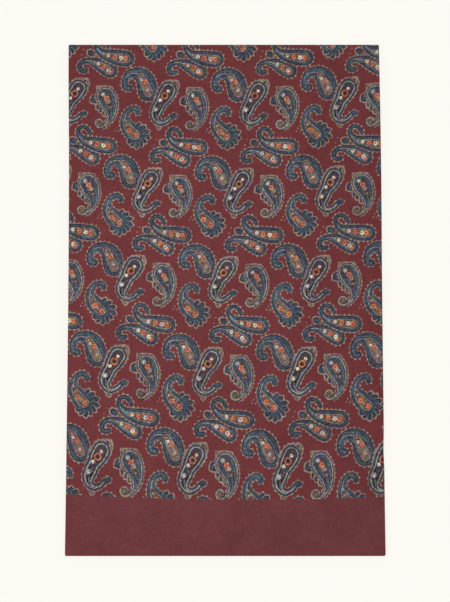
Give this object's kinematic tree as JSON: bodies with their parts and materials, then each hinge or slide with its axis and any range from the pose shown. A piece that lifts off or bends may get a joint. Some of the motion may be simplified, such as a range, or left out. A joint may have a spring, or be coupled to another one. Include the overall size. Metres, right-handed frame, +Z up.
{
  "type": "silk scarf",
  "caption": "Double silk scarf with an all-over paisley print and a plain border across its end, pressed flat and folded in three.",
  "frame": {"origin": "on the surface that the folded scarf lies on, under the middle of its box", "axes": "+Z up, +Y from the closed end with the plain border to the crosswise fold, +X to the right seen from above"},
  "size_m": [0.3226, 0.5166, 0.0053],
  "materials": {
    "printed_silk": "soft silk twill with a low sheen, dark red ground printed with blue, cream and orange paisleys",
    "plain_silk": "soft silk twill with a low sheen, plain dark wine red"
  },
  "bodies": {
    "root": {"front_stretch": "printed_silk", "top_fold": "printed_silk", "under_stretch": "printed_silk", "lower_fold": "printed_silk", "inner_layers": "plain_silk"}
  },
  "joints": []
}
